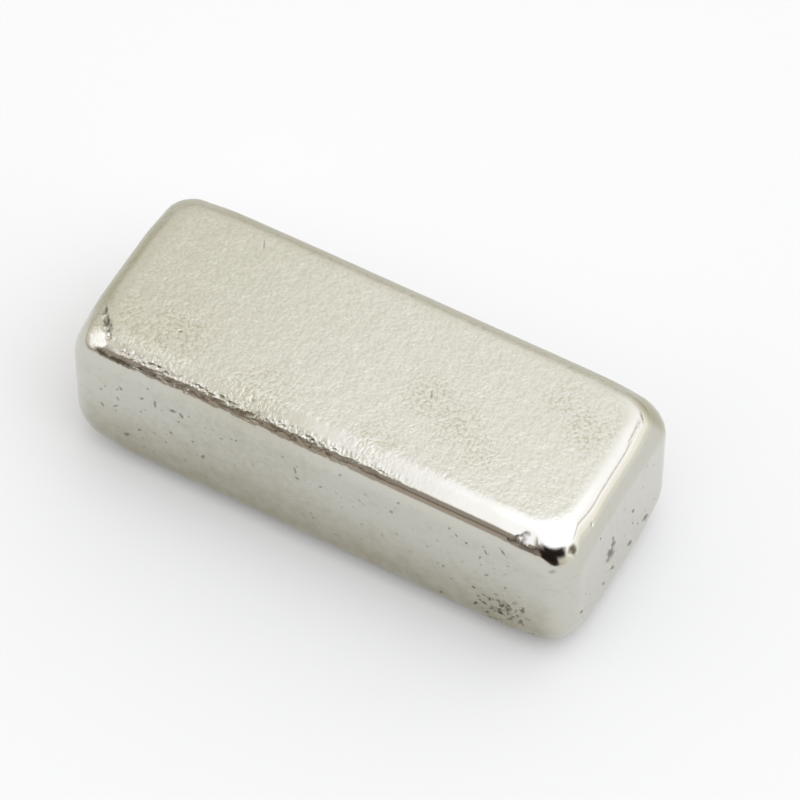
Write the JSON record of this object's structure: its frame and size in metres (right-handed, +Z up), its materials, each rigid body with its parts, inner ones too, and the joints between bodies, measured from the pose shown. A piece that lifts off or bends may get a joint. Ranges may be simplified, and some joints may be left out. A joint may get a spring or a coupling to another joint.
{
  "type": "block magnet",
  "caption": "Rectangular plated rare-earth block magnet with tumbled, rounded edges, for holding, latching or sensing from its flat faces.",
  "frame": {"origin": "under the middle of the base, on the surface the block lies on", "axes": "+X along the length, towards the end with the chipped corner; +Y from the front side to the back side; +Z up, through the height"},
  "size_m": [0.015, 0.006, 0.005],
  "materials": {
    "nickel_plate": "satin nickel plating, grainy on the broad face and brighter where the edges are worn"
  },
  "bodies": {
    "root": {"magnet": "nickel_plate"}
  },
  "joints": []
}
